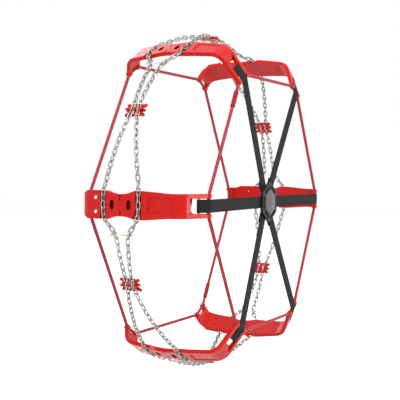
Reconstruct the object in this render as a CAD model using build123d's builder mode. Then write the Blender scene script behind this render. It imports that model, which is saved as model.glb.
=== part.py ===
"""Snow chain set for one car wheel, in the shape it has when it is on the tyre.

Six moulded arms hook over the tread. Two lines of short-link chain run right round through
all of them, pinched by a tie rod beside each arm and by a spider clip between two arms.
An elastic cord on each side of the tyre and six elastic straps to a central hub pull it tight.

Frame: origin at the wheel's centre in the tyre's middle plane, wheel axis along Y with the
outside of the car towards -Y, +Z up. Each arm is drawn at angle 0, where X is the distance
from the axle, Y runs across the tyre and Z runs round it, and is then turned into place.
"""

import math
import os

from build123d import *

# ------------------------------------------------------------------ driving sizes, mm
ARM_COUNT = 6
TYRE_RADIUS = 316.0          # tread radius of the tyre that the set is made for
CROWN_RADIUS = 500.0         # side-to-side rounding of the tread

# arm
ARM_THICKNESS = 7.6
ARM_SEAT_GAP = 0.5           # between tread and arm
ARM_HALF_WIDTH = 24.2
WAIST_HALF_WIDTH = 18.6
LEG_HALF_WIDTH = 20.3
TREAD_INNER = 70.0           # where the tread stretch ends, across the tyre
TREAD_OUTER = -57.0
OUTER_DROP = 58.0            # from the tread in to each elastic cord
INNER_DROP = 32.0
OUTER_CORD_Y = -117.0        # where each cord runs, across the tyre
INNER_CORD_Y = 102.0
LEG_SLOPE = 24.1             # degrees that the outer leg leans out from the wheel's plane
INNER_LEG_SLOPE = 17.0
SHOULDER_ROUNDING = 32.0
INNER_SHOULDER_ROUNDING = 26.0
WAIST_INSET = 10.0           # from a chain line to the waist's end
OUTER_WAIST_INSET = 8.0
INNER_NARROWING = 14.0       # past the tread's end, where the arm narrows to its legs
INNER_NARROWED = 22.0
OUTER_NARROWED = 20.0

# features of the arm
PANEL_FROM_LINE = 17.5       # from the outer chain line
PANEL_PAST_TREAD = 24.0      # beyond the tread's outer end
PANEL_WIDTH = 27.0
PANEL_DEPTH = 1.1
PANEL_CORNER = 1.5
RIB_WIDTH = 1.8
RIB_FROM_START = 3.2
RIB_SIDE = 3.5               # from the rib's end to the panel's side
HOLE_OFFSET = 16.7           # oval pockets, from the middle between the chain lines
HOLE_ACROSS = 8.8
HOLE_ROUND = 17.6
HOLE_FLOOR = 1.2             # left under each oval pocket
DIMPLE_RADIUS = 1.7
DIMPLE_DEPTH = 2.0
DIMPLE_INNER = 9.4
DIMPLE_OUTER = 14.6
CHANNEL_PLAY = 1.0           # beside and under the chain
CHANNEL_FLARE = 5.0
CHANNEL_FLARE_START = 9.0    # from the arm's middle
POCKET_PLAY = 1.5            # beside a link that stands on edge in its slot
POCKET_FLOOR_PLAY = 0.4      # under it
MIDDLE_POCKET_ACROSS = 13.6  # under the flat link in the middle of the arm
MIDDLE_POCKET_ROUND = 11.0
STUD_FROM_END = 4.0          # from the tread's inner end
STUD_OFFSET = 12.0
STUD_RADIUS = 2.0
STUD_HEAD = 3.3
STUD_SEAT = 1.0
STUD_DOME = 1.9
STUD_HEAD_PLAY = 0.5
NOTCH_LENGTH = 8.0

# elastic cords
CORD_DIAMETER = 6.0
CORD_CLEARANCE = 0.3
CORD_BEND = 14.0
EYE_WALL = 2.1
SLEEVE_LENGTH = 32.0
SLEEVE_WALL = 1.3
SLEEVE_PLACE = 36.0          # from the eye to the sleeve's middle
OUTER_SLEEVE_SPAN = 2        # the spans with a sleeve, counted from the first arm
INNER_SLEEVE_SPAN = 5

# fork at the end of the arm
FORK_GAP = 25.0
FORK_LENGTH = 36.8           # from the eyes to the closed end
FORK_CORNER = 8.0
FACET_LENGTH = 12.0
FACET_DEPTH = 3.6
FACET_EDGE = 0.5

# chain
WIRE = 2.6
LINK_SIDE_PLAY = 1.4         # inside a link, beside the wire of the next one
LINK_PLAY = 0.7              # the same along the chain
LINKS_PER_SPAN = 30          # from one arm's middle to the next
TREAD_PLAY = 0.3
ARM_LIFT = 2.6               # how much higher the chain rides in an arm than on the tread
LIFT_RUN = 19.0              # from the arm's edge to where the chain is down again
CHAIN_MIDDLE = 15.0          # the two lines lie on each side of this
LINE_OFFSET = 35.25          # in the arms
NECK_OFFSET = 11.6           # at the tie rod
CLIP_OFFSET = 5.2            # in the spider clip
NECK_LINK = 5                # which link the tie rod goes through
LINKS_IN_ENTRY = 2           # links before an arm's middle that lie in the arm
CLIP_LINKS = (15, 15, 15, 13, 15, 15)   # the link in the spider clip, after each arm
CHAIN_BEND = 38.0

# tie rod
ROD_DIAMETER = 1.9
ROD_HEAD = 4.8
ROD_HEAD_LENGTH = 1.4
ROD_OVERHANG = 8.0           # past the chain on each side, with its head

# spider clip
CLIP_LENGTH = 25.0           # round the tyre
CLIP_SPAN = 39.0             # across the tyre
CLIP_BASE = 2.1
CLIP_LEG_WIDTH = 6.4
CLIP_LEG_ANGLE = 30.0
CLIP_LEG_REACH = 6.0         # how much longer the slanting legs are
CLIP_CORNER = 2.0
CLIP_SLOT_PLAY = 1.5
CLIP_BOSS_RADIUS = 2.3
CLIP_PIN = 2.2
CLIP_PIN_LENGTH = 44.0

# straps
STRAP_SIDE_PLAY = 1.5        # between strap and prong
STRAP_THICKNESS = 2.0
STRAP_CLEARANCE = 0.3
STRAP_PIN = 4.0
STRAP_PIN_SEAT = 4.0         # depth of the holes in the prongs
STRAP_PIN_END_PLAY = 0.2
STRAP_PIN_PLACE = 20.8       # from the eyes, along the fork

# hub
HUB_Y = -117.0
HUB_THICKNESS = 6.0
HUB_CORNER_ROUNDING = 7.0
HUB_RIM = 2.4                # unbroken edge outside the strap loops
HUB_BAR = 2.4                # what a strap is looped round, behind a recess in the face
HUB_SLOT_PLAY = 0.6          # besides the strap's thickness, on each side of a bar
HUB_WINDOW_PLAY = 1.2        # beside the strap
HUB_SLOT_CORNER = 0.6
HUB_WEB = 1.3                # half of what is left between two windows
BADGE_EDGE = 1.3             # from the windows to the badge
BADGE_CORNER = 3.2
BADGE_THICKNESS = 4.0
BADGE_TAPER = 24.0           # degrees

# fits
PIN_FIT = 0.05               # round a pin, on the radius
SLEEVE_FIT = 0.1

# ------------------------------------------------------------------ tied sizes
SPAN_ANGLE = 360.0 / ARM_COUNT
OUTER_CORD_RADIUS = TYRE_RADIUS - OUTER_DROP
INNER_CORD_RADIUS = TYRE_RADIUS - INNER_DROP
STUD_Y = TREAD_INNER - STUD_FROM_END
LINK_WIDTH = 3 * WIRE + LINK_SIDE_PLAY
STRAP_WIDTH = FORK_GAP - 2 * STRAP_SIDE_PLAY
FACET_WIDTH = FORK_GAP - 2 * FACET_EDGE
ARM_TOP = TYRE_RADIUS + ARM_SEAT_GAP + ARM_THICKNESS
EYE_RADIUS = CORD_DIAMETER / 2 + CORD_CLEARANCE + EYE_WALL
EYE_MIDDLE = (FORK_GAP / 2 + LEG_HALF_WIDTH) / 2
CHAIN_RADIUS = TYRE_RADIUS + TREAD_PLAY + LINK_WIDTH / 2
LINK_HALF_WIDTH = LINK_WIDTH / 2
SPAN_LENGTH = CHAIN_RADIUS * math.radians(SPAN_ANGLE)
FLAT_TO_CORNER = math.cos(math.radians(SPAN_ANGLE / 2))
HUB_WINDOW_WIDTH = STRAP_WIDTH + 2 * HUB_WINDOW_PLAY
HUB_CORE = (HUB_WINDOW_WIDTH / 2 + HUB_WEB) / math.tan(math.radians(SPAN_ANGLE / 2))
HUB_SLOT = STRAP_THICKNESS + HUB_SLOT_PLAY
HUB_BAR_MIDDLE = HUB_CORE + HUB_SLOT + HUB_BAR / 2
HUB_FLAT = HUB_BAR_MIDDLE + HUB_BAR / 2 + HUB_SLOT + HUB_RIM
STRAP_STANDOFF = STRAP_CLEARANCE + STRAP_THICKNESS / 2
HUB_RECESS = STRAP_THICKNESS + STRAP_CLEARANCE
LIFTED_RADIUS = CHAIN_RADIUS + ARM_LIFT
CHANNEL_FLOOR = math.sqrt(LIFTED_RADIUS**2 - ARM_HALF_WIDTH**2) - WIRE / 2 - CHANNEL_PLAY
CHANNEL_DEPTH = ARM_TOP - CHANNEL_FLOOR


def route_corners(step, clip_link):
    """Corners of one chain line between two arms, as (round the tyre, from the middle)."""
    neck = ARM_HALF_WIDTH + math.sqrt((NECK_LINK * step - ARM_HALF_WIDTH) ** 2
                                      - (LINE_OFFSET - NECK_OFFSET) ** 2)
    clip = neck + math.sqrt(((clip_link - NECK_LINK) * step) ** 2
                            - (NECK_OFFSET - CLIP_OFFSET) ** 2)
    entry = clip + math.sqrt(((LINKS_PER_SPAN - clip_link) * step - ARM_HALF_WIDTH) ** 2
                             - (LINE_OFFSET - CLIP_OFFSET) ** 2)
    return [(0, LINE_OFFSET), (ARM_HALF_WIDTH, LINE_OFFSET), (neck, NECK_OFFSET),
            (clip, CLIP_OFFSET), (entry, LINE_OFFSET),
            (entry + ARM_HALF_WIDTH, LINE_OFFSET)]


def chain_route(clip_link):
    """The smooth line that the links follow, with the link step that makes it close."""
    low, high = SPAN_LENGTH / LINKS_PER_SPAN, 1.3 * SPAN_LENGTH / LINKS_PER_SPAN
    while high - low > 1e-6:
        step = (low + high) / 2
        if route_corners(step, clip_link)[-1][0] < SPAN_LENGTH:
            low = step
        else:
            high = step
    with BuildLine() as route:
        FilletPolyline(*route_corners(low, clip_link), radius=CHAIN_BEND)
    return route.wires()[0]


ROUTES = {clip_link: chain_route(clip_link) for clip_link in sorted(set(CLIP_LINKS))}
LINK_STEP = max(route.length for route in ROUTES.values()) / LINKS_PER_SPAN
LINK_LENGTH = LINK_STEP + LINK_PLAY + 2 * WIRE
EDGE_LINK_REACH = LINK_STEP + LINK_LENGTH / 2
EDGE_LINK_FOOT = math.sqrt(LIFTED_RADIUS**2 - EDGE_LINK_REACH**2) - LINK_HALF_WIDTH
POCKET_DEPTH = ARM_TOP - EDGE_LINK_FOOT + POCKET_FLOOR_PLAY


def crown_drop(y):
    """How far the rounded tread lies below its highest line."""
    return CROWN_RADIUS - math.sqrt(CROWN_RADIUS**2 - y**2)


def leg_direction(slope, outward):
    """Unit vector down a leg, in (distance from axle, across)."""
    angle = math.radians(slope)
    return Vector(-math.cos(angle), outward * math.sin(angle))


def tangent_corner(end_y, leg_point, leg_way):
    """Where the tangent of the crown at end_y meets a leg's outer face."""
    foot = Vector(ARM_TOP - crown_drop(end_y), end_y)
    side = math.copysign(1.0, end_y)
    tilt = math.asin(abs(end_y) / CROWN_RADIUS)
    way = Vector(-math.sin(tilt), side * math.cos(tilt))
    cross = way.X * leg_way.Y - way.Y * leg_way.X
    gap = leg_point - foot
    return foot + way * ((gap.X * leg_way.Y - gap.Y * leg_way.X) / cross)


def crown_apex():
    """Where the crown's tangents at the two ends of the tread stretch meet."""
    top_in = Vector(ARM_TOP - crown_drop(TREAD_INNER), TREAD_INNER)
    top_out = Vector(ARM_TOP - crown_drop(TREAD_OUTER), TREAD_OUTER)
    rise_in = TREAD_INNER / math.sqrt(CROWN_RADIUS**2 - TREAD_INNER**2)
    rise_out = -TREAD_OUTER / math.sqrt(CROWN_RADIUS**2 - TREAD_OUTER**2)
    y = (top_in.X - top_out.X + rise_in * TREAD_INNER + rise_out * TREAD_OUTER)
    y = y / (rise_in + rise_out)
    return Vector(top_in.X + rise_in * (TREAD_INNER - y), y)


STUD_SEAT_RADIUS = ARM_TOP - crown_drop(STUD_Y) - STUD_SEAT
OUTER_WAY = leg_direction(LEG_SLOPE, -1)
OUTER_NORMAL = Vector(-OUTER_WAY.Y, OUTER_WAY.X)
INNER_WAY = leg_direction(INNER_LEG_SLOPE, 1)
INNER_NORMAL = Vector(INNER_WAY.Y, -INNER_WAY.X)
OUTER_EYE = Vector(OUTER_CORD_RADIUS, OUTER_CORD_Y)
INNER_EYE = Vector(INNER_CORD_RADIUS, INNER_CORD_Y)


def arm_face_line():
    """The arm's outer face seen from the side, from the inner eye to the outer eye."""
    start = INNER_EYE + INNER_NORMAL * (ARM_THICKNESS / 2)
    end = OUTER_EYE + OUTER_NORMAL * (ARM_THICKNESS / 2)
    return [
        start,
        tangent_corner(TREAD_INNER, start, INNER_WAY),
        crown_apex(),
        tangent_corner(TREAD_OUTER, end, OUTER_WAY),
        end,
    ]


def arm_layer(depth, side=Side.RIGHT):
    """The slab between the arm's outer face and a line `depth` under (RIGHT) or over (LEFT) it."""
    radii = [INNER_SHOULDER_ROUNDING, CROWN_RADIUS, SHOULDER_ROUNDING]
    with BuildPart() as layer:
        with BuildSketch(Plane.XY):
            with BuildLine():
                FilletPolyline(*arm_face_line(), radius=radii)
                offset(amount=depth, side=side)
            make_face()
        extrude(amount=2 * ARM_HALF_WIDTH, both=True)
    return layer.part


def arm_outline():
    """The arm seen from above the tread: (across, round), with its waist."""
    wide, leg = ARM_HALF_WIDTH, LEG_HALF_WIDTH
    outer_line = CHAIN_MIDDLE - LINE_OFFSET
    waist_start = CHAIN_MIDDLE + LINE_OFFSET - WAIST_INSET
    waist_end = outer_line + OUTER_WAIST_INSET
    inner_end, outer_end = INNER_CORD_Y + 3 * EYE_RADIUS, OUTER_CORD_Y - 3 * EYE_RADIUS
    with BuildLine() as half:
        Polyline((inner_end, 0), (inner_end, leg), (TREAD_INNER + INNER_NARROWED, leg),
                 (TREAD_INNER + INNER_NARROWING, wide), (waist_start, wide))
        ThreePointArc((waist_start, wide), (CHAIN_MIDDLE, WAIST_HALF_WIDTH), (waist_end, wide))
        Polyline((waist_end, wide), (outer_line - OUTER_WAIST_INSET, wide),
                 (TREAD_OUTER - OUTER_NARROWED, leg), (outer_end, leg), (outer_end, 0))
        mirror(about=Plane.XZ)
    return half.line


def arm_recess(face, depth):
    """What a pocket of this plan shape takes out of the arm's outer face."""
    with BuildPart() as recess:
        add(arm_layer(depth))
        add(arm_layer(ARM_THICKNESS, Side.LEFT))
        with BuildSketch(Plane.YZ):
            add(face)
        extrude(amount=2 * TYRE_RADIUS, mode=Mode.INTERSECT)
    return recess.part


def panel_face():
    """A sunk panel on the outer half of the tread, with a rib left standing in it."""
    start = CHAIN_MIDDLE - LINE_OFFSET - PANEL_FROM_LINE
    end = TREAD_OUTER - PANEL_PAST_TREAD
    with BuildSketch(Plane.XY) as panel:
        with Locations(((start + end) / 2, 0)):
            RectangleRounded(start - end, PANEL_WIDTH, PANEL_CORNER)
        with Locations((start - RIB_FROM_START, 0)):
            SlotOverall(PANEL_WIDTH - 2 * RIB_SIDE, RIB_WIDTH, rotation=90, mode=Mode.SUBTRACT)
    return panel.sketch


def channel_face(line_y, inward):
    """A chain channel across the arm, flared where the chain leaves it for the neck."""
    half, reach = LINK_HALF_WIDTH + CHANNEL_PLAY, ARM_HALF_WIDTH + CHANNEL_PLAY
    near, far = line_y - inward * half, line_y + inward * half
    with BuildSketch(Plane.XY) as channel:
        with BuildLine():
            Polyline((near, -reach), (near, reach), (far + inward * CHANNEL_FLARE, reach),
                     (far, CHANNEL_FLARE_START), (far, -reach), close=True)
        make_face()
    return channel.sketch


def pocket_face():
    """Slots for the links that stand on edge, with a wider pocket under the middle link."""
    slot_length = LINK_LENGTH + 2 * LINK_PLAY
    with BuildSketch(Plane.XY) as pockets:
        for line in (1, -1):
            line_y = CHAIN_MIDDLE + line * LINE_OFFSET
            with Locations((line_y, LINK_STEP), (line_y, -LINK_STEP)):
                SlotOverall(slot_length, WIRE + 2 * POCKET_PLAY, rotation=90)
            with Locations((line_y, 0)):
                Ellipse(MIDDLE_POCKET_ACROSS / 2, MIDDLE_POCKET_ROUND / 2)
    return pockets.sketch


def hole_face():
    """The two oval pockets on the waist."""
    with BuildSketch(Plane.XY) as holes:
        with Locations((CHAIN_MIDDLE + HOLE_OFFSET, 0), (CHAIN_MIDDLE - HOLE_OFFSET, 0)):
            Ellipse(HOLE_ACROSS / 2, HOLE_ROUND / 2)
    return holes.sketch


def dimple_face():
    """Small blind holes in pairs on the waist."""
    with BuildSketch(Plane.XY) as dimples:
        for way in (1, -1):
            with Locations((CHAIN_MIDDLE, way * DIMPLE_INNER), (CHAIN_MIDDLE, way * DIMPLE_OUTER)):
                Circle(DIMPLE_RADIUS)
    return dimples.sketch


def fork_cut():
    """The gap between the prongs, and the facet that slopes down into its closed end."""
    mouth = OUTER_EYE + OUTER_WAY * (2 * EYE_RADIUS)
    length = FORK_LENGTH + 2 * EYE_RADIUS
    plane = Plane(origin=(mouth.X, mouth.Y, 0), x_dir=(-OUTER_WAY.X, -OUTER_WAY.Y, 0),
                  z_dir=(OUTER_NORMAL.X, OUTER_NORMAL.Y, 0))
    face = ARM_THICKNESS / 2
    with BuildPart() as cut:
        with BuildSketch(plane.offset(-2 * ARM_THICKNESS)):
            with Locations((length / 2, 0)):
                gap = Rectangle(length, FORK_GAP)
            fillet(gap.vertices().group_by(Axis((0, 0, 0), plane.x_dir))[-1], FORK_CORNER)
        extrude(amount=4 * ARM_THICKNESS)
        side = Plane(origin=plane.origin, x_dir=plane.x_dir, z_dir=(0, 0, 1))
        with BuildSketch(side.offset(-FACET_WIDTH / 2)):
            with BuildLine():
                Polyline((length - FORK_CORNER, -face + FACET_DEPTH),
                         (length, -face + FACET_DEPTH), (length + FACET_LENGTH, -face),
                         (length + FACET_LENGTH, -face - FACET_DEPTH),
                         (length - FORK_CORNER, -face - FACET_DEPTH), close=True)
            make_face()
        extrude(amount=FACET_WIDTH)
    return cut.part


def inner_notch():
    """The gap between the two eyes on the hidden side of the arm."""
    mouth = INNER_EYE + INNER_WAY * (2 * EYE_RADIUS)
    plane = Plane(origin=(mouth.X, mouth.Y, 0), x_dir=(-INNER_WAY.X, -INNER_WAY.Y, 0),
                  z_dir=(INNER_NORMAL.X, INNER_NORMAL.Y, 0))
    length = NOTCH_LENGTH + 2 * EYE_RADIUS
    with BuildPart() as cut:
        with BuildSketch(plane.offset(-2 * ARM_THICKNESS)):
            with Locations((length / 2, 0)):
                gap = Rectangle(length, FORK_GAP)
            fillet(gap.vertices().group_by(Axis((0, 0, 0), plane.x_dir))[-1], FORK_CORNER / 2)
        extrude(amount=4 * ARM_THICKNESS)
    return cut.part


def cord_ring(radius, y, thickness):
    """A round cord through both eyes of every arm."""
    corners = []
    for k in range(ARM_COUNT):
        for side in (-1, 1):
            turn = Rotation(0, -k * SPAN_ANGLE, 0)
            corners.append((turn * Vertex(radius, y, side * EYE_MIDDLE)).center())
    with BuildPart() as ring:
        with BuildLine() as route:
            FilletPolyline(*corners, radius=CORD_BEND, close=True)
        at_start = Plane(origin=route.line @ 0, z_dir=route.line % 0)
        with BuildSketch(at_start):
            Circle(thickness / 2)
        sweep(path=route.wires()[0])
    return ring.part


def chain_lift(round_tyre):
    """How far the chain is off the tread at this distance from one arm's middle to the next."""
    from_arm = min(round_tyre, SPAN_LENGTH - round_tyre)
    share = min(max((from_arm - ARM_HALF_WIDTH) / LIFT_RUN, 0), 1)
    return ARM_LIFT * (1 + math.cos(math.pi * share)) / 2


def on_tread(clip_link, count, line):
    """The point `count` links along a chain line, over the rounded tread, and its angle."""
    flat = ROUTES[clip_link] @ (count / LINKS_PER_SPAN)
    angle = math.degrees(flat.X / CHAIN_RADIUS)
    y = CHAIN_MIDDLE + line * flat.Y
    radius = CHAIN_RADIUS + chain_lift(flat.X) - crown_drop(y)
    return Vector(radius, y, 0).rotate(Axis.Y, -angle), angle


def link_place(clip_link, index, line):
    """Where a link lies: even ones flat on the tread, odd ones on edge."""
    start, end = [on_tread(clip_link, min(max(index + half, 0), LINKS_PER_SPAN), line)[0]
                  for half in (-0.5, 0.5)]
    middle, angle = on_tread(clip_link, index, line)
    if index == 0:
        start = middle * 2 - end
    tilt = math.degrees(math.asin(middle.Y / CROWN_RADIUS))
    up = Vector(1, 0, 0).rotate(Axis.Z, tilt).rotate(Axis.Y, -angle)
    way = (end - start).normalized()
    flat = Plane(origin=(start + end) * 0.5, x_dir=way, z_dir=up)
    if index % 2:
        return Plane(origin=flat.origin, x_dir=way, z_dir=flat.y_dir).location
    return flat.location


def chain_link():
    """One welded link, a round wire bent to a stadium."""
    end = (LINK_WIDTH - WIRE) / 2
    half = (LINK_LENGTH - WIRE) / 2 - end
    with BuildPart() as link:
        with BuildLine() as track:
            Line((-half, end), (half, end))
            ThreePointArc((half, end), (half + end, 0), (half, -end))
            Line((half, -end), (-half, -end))
            ThreePointArc((-half, -end), (-half - end, 0), (-half, end))
        with BuildSketch(Plane(origin=(-half, end, 0), z_dir=(1, 0, 0))):
            Circle(WIRE / 2)
        sweep(path=track.wires()[0])
    return link.part


def spider_clip():
    """Red moulded cross that lies under both chains and holds them at a steel pin."""
    base = TYRE_RADIUS + ARM_SEAT_GAP
    slot = CLIP_SLOT_PLAY + WIRE / 2
    held = max((ROUTES[count] @ (count / LINKS_PER_SPAN)).Y for count in ROUTES)
    wing = held + LINK_HALF_WIDTH + CLIP_SLOT_PLAY
    link_places = [(CHAIN_MIDDLE + way * held, 0) for way in (1, -1)]
    with BuildPart() as clip:
        with BuildSketch(Plane.YZ.offset(base)):
            with Locations((CHAIN_MIDDLE, 0)):
                RectangleRounded(2 * wing, CLIP_LENGTH, CLIP_CORNER)
                SlotOverall(CLIP_SPAN, CLIP_LEG_WIDTH)
                for way in (1, -1):
                    SlotOverall(CLIP_SPAN + CLIP_LEG_REACH, CLIP_LEG_WIDTH,
                                rotation=way * CLIP_LEG_ANGLE)
            with Locations(*link_places):
                SlotOverall(LINK_LENGTH + CLIP_SLOT_PLAY, 2 * slot, rotation=90,
                            mode=Mode.SUBTRACT)
        extrude(amount=CLIP_BASE)
        with BuildSketch(Plane.YZ.offset(base)):
            with Locations((CHAIN_MIDDLE, 0)):
                SlotCenterToCenter(CLIP_SPAN - CLIP_LEG_WIDTH, 2 * CLIP_BOSS_RADIUS)
            with Locations(*link_places):
                Rectangle(2 * slot, CLIP_LEG_WIDTH, mode=Mode.SUBTRACT)
        extrude(amount=CHAIN_RADIUS - base + CLIP_BOSS_RADIUS)
        with BuildSketch(Plane.XZ.offset(-CHAIN_MIDDLE)):
            with Locations((CHAIN_RADIUS, 0)):
                Circle(CLIP_PIN / 2 + PIN_FIT)
        extrude(amount=CLIP_SPAN, both=True, mode=Mode.SUBTRACT)
    return clip.part


def round_bar(centre, length, radius, head_radius=0.0, head_length=0.0):
    """A plain bar along the axle's direction, with upset heads where it has them."""
    with BuildPart() as bar:
        with Locations(Location(centre, (90, 0, 0))):
            Cylinder(radius, length)
        for way in (1, -1):
            if head_radius:
                place = Vector(*centre) + Vector(0, way * (length - head_length) / 2, 0)
                with Locations(Location(place, (90, 0, 0))):
                    Cylinder(head_radius, head_length)
    return bar.part


def strap_pin_point():
    """The cross pin's middle, in the fork."""
    return OUTER_EYE - OUTER_WAY * STRAP_PIN_PLACE


def elastic_strap():
    """A flat strap, looped over the cross pin, led over the cord and from behind round a hub bar."""
    pin, pin_loop = strap_pin_point(), STRAP_PIN / 2 + STRAP_STANDOFF
    over_cord = CORD_DIAMETER / 2 + STRAP_STANDOFF
    bend = OUTER_EYE + (OUTER_NORMAL + Vector(0, -1)).normalized() * over_cord
    hub_back = HUB_Y + HUB_THICKNESS / 2
    hub_y = hub_back + STRAP_CLEARANCE + STRAP_STANDOFF
    half_bar = HUB_BAR / 2 + STRAP_CLEARANCE
    bar_front = HUB_Y - HUB_THICKNESS / 2 + HUB_RECESS - STRAP_CLEARANCE
    bar_back = hub_y - STRAP_THICKNESS / 2
    turn = (bend - (pin + OUTER_NORMAL * pin_loop)).normalized()
    pin_side = Vector(-turn.Y, turn.X)
    with BuildPart() as strap:
        with BuildSketch(Plane.XY):
            with BuildLine():
                FilletPolyline(pin + pin_side * pin_loop, bend, (HUB_BAR_MIDDLE, hub_y),
                               radius=over_cord)
                offset(amount=STRAP_THICKNESS / 2, side=Side.BOTH)
            make_face()
            with Locations((pin.X, pin.Y)):
                Circle(pin_loop + STRAP_THICKNESS / 2)
                Circle(pin_loop - STRAP_THICKNESS / 2, mode=Mode.SUBTRACT)
            with Locations((HUB_BAR_MIDDLE, (bar_front + bar_back) / 2)):
                RectangleRounded(2 * (half_bar + STRAP_THICKNESS),
                                 bar_back - bar_front + 2 * STRAP_THICKNESS, STRAP_THICKNESS)
                Rectangle(2 * half_bar, bar_back - bar_front, mode=Mode.SUBTRACT)
        extrude(amount=STRAP_WIDTH / 2, both=True)
    return strap.part


def hub_frame():
    """Black rounded hexagon with six bars that lie behind recesses in its face."""
    face = Plane.XZ.offset(-HUB_Y + HUB_THICKNESS / 2)
    with BuildPart() as frame:
        with BuildSketch(face):
            outline = RegularPolygon(HUB_FLAT, ARM_COUNT, major_radius=False,
                                     rotation=SPAN_ANGLE / 2)
            fillet(outline.vertices(), HUB_CORNER_ROUNDING)
            for way in (1, -1):
                slot_middle = HUB_BAR_MIDDLE + way * (HUB_BAR + HUB_SLOT) / 2
                with PolarLocations(slot_middle, ARM_COUNT):
                    RectangleRounded(HUB_SLOT, HUB_WINDOW_WIDTH, HUB_SLOT_CORNER,
                                     mode=Mode.SUBTRACT)
        extrude(amount=-HUB_THICKNESS)
        with BuildSketch(face):
            with PolarLocations(HUB_BAR_MIDDLE, ARM_COUNT):
                RectangleRounded(HUB_BAR + 2 * HUB_SLOT, HUB_WINDOW_WIDTH, HUB_SLOT_CORNER)
        extrude(amount=-HUB_RECESS, mode=Mode.SUBTRACT)
    return frame.part


def hub_badge():
    """Plain cap with bevelled sides on the middle of the hub's face."""
    with BuildPart() as badge:
        with BuildSketch(Plane.XZ.offset(-HUB_Y + HUB_THICKNESS / 2)):
            outline = RegularPolygon(HUB_CORE - BADGE_EDGE, ARM_COUNT, major_radius=False,
                                     rotation=SPAN_ANGLE / 2)
            fillet(outline.vertices(), BADGE_CORNER)
        extrude(amount=BADGE_THICKNESS, taper=BADGE_TAPER)
    return badge.part


def stud():
    """Steel rivet with a rounded head, in the inner end of the arm."""
    foot = STUD_SEAT_RADIUS - ARM_THICKNESS + 2 * STUD_SEAT
    with BuildPart() as rivet:
        with BuildSketch(Plane.YZ.offset(STUD_SEAT_RADIUS)):
            Circle(STUD_HEAD)
        extrude(amount=STUD_DOME)
        fillet(rivet.edges().group_by(Axis.X)[-1], STUD_DOME * 0.8)
        with BuildSketch(Plane.YZ.offset(foot)):
            Circle(STUD_RADIUS)
        extrude(amount=STUD_SEAT_RADIUS - foot)
    return rivet.part


def snow_arm():
    """One moulded arm with everything that is cut into it."""
    with BuildPart() as arm:
        add(arm_layer(ARM_THICKNESS))
        with BuildSketch(Plane.YZ):
            add(arm_outline())
            make_face()
        extrude(amount=2 * TYRE_RADIUS, mode=Mode.INTERSECT)
        for eye in (OUTER_EYE, INNER_EYE):
            with Locations((eye.X, eye.Y, 0)):
                Cylinder(EYE_RADIUS, 2 * LEG_HALF_WIDTH)
        add(fork_cut(), mode=Mode.SUBTRACT)
        add(inner_notch(), mode=Mode.SUBTRACT)
        add(arm_recess(panel_face(), PANEL_DEPTH), mode=Mode.SUBTRACT)
        add(arm_recess(dimple_face(), DIMPLE_DEPTH), mode=Mode.SUBTRACT)
        for way in (1, -1):
            channel = channel_face(CHAIN_MIDDLE + way * LINE_OFFSET, -way)
            add(arm_recess(channel, CHANNEL_DEPTH), mode=Mode.SUBTRACT)
        add(arm_recess(pocket_face(), POCKET_DEPTH), mode=Mode.SUBTRACT)
        add(arm_recess(hole_face(), ARM_THICKNESS - HOLE_FLOOR), mode=Mode.SUBTRACT)
        for radius, y in ((OUTER_CORD_RADIUS, OUTER_CORD_Y), (INNER_CORD_RADIUS, INNER_CORD_Y)):
            add(cord_ring(radius, y, CORD_DIAMETER + 2 * CORD_CLEARANCE), mode=Mode.SUBTRACT)
        pin = strap_pin_point()
        with Locations((pin.X, pin.Y, 0)):
            Cylinder(STRAP_PIN / 2 + PIN_FIT, FORK_GAP + 2 * STRAP_PIN_SEAT, mode=Mode.SUBTRACT)
        for radius, foot in ((STUD_HEAD + STUD_HEAD_PLAY, STUD_SEAT_RADIUS),
                             (STUD_RADIUS + PIN_FIT, STUD_SEAT_RADIUS - ARM_THICKNESS)):
            with BuildSketch(Plane.YZ.offset(foot)):
                with Locations((STUD_Y, STUD_OFFSET), (STUD_Y, -STUD_OFFSET)):
                    Circle(radius)
            extrude(amount=2 * ARM_THICKNESS, mode=Mode.SUBTRACT)
    return arm.part


def save(part, name):
    """Write one node's STEP file under its own name."""
    part.label = name
    export_step(part, f"parts/{name}.step")


def set_round(part, angle):
    """Turn a piece drawn at angle 0 to its place round the wheel."""
    return part.rotate(Axis.Y, -angle)


def cord_sleeve(radius, y, span_index):
    """Crimped sleeve over the joint in a cord, a little past the eye that the span starts at."""
    span = 2 * (radius * math.sin(math.radians(SPAN_ANGLE / 2))
                - EYE_MIDDLE * math.cos(math.radians(SPAN_ANGLE / 2)))
    middle = radius * FLAT_TO_CORNER + EYE_MIDDLE * math.sin(math.radians(SPAN_ANGLE / 2))
    bore = CORD_DIAMETER / 2 + SLEEVE_FIT
    with BuildPart() as sleeve:
        with Locations((middle, y, SLEEVE_PLACE - span / 2)):
            Cylinder(bore + SLEEVE_WALL, SLEEVE_LENGTH)
            Cylinder(bore, SLEEVE_LENGTH, mode=Mode.SUBTRACT)
    return set_round(sleeve.part, (span_index + 0.5) * SPAN_ANGLE)


def chain_links(arm_angle, clip_link, first, last):
    """The links of both lines from one count to another, after the arm at this angle."""
    return [set_round(LINK.moved(link_place(clip_link, count, line)), arm_angle)
            for line in (1, -1) for count in range(first, last + 1)]


# ------------------------------------------------------------------ the set, piece by piece
os.makedirs("parts", exist_ok=True)

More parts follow.
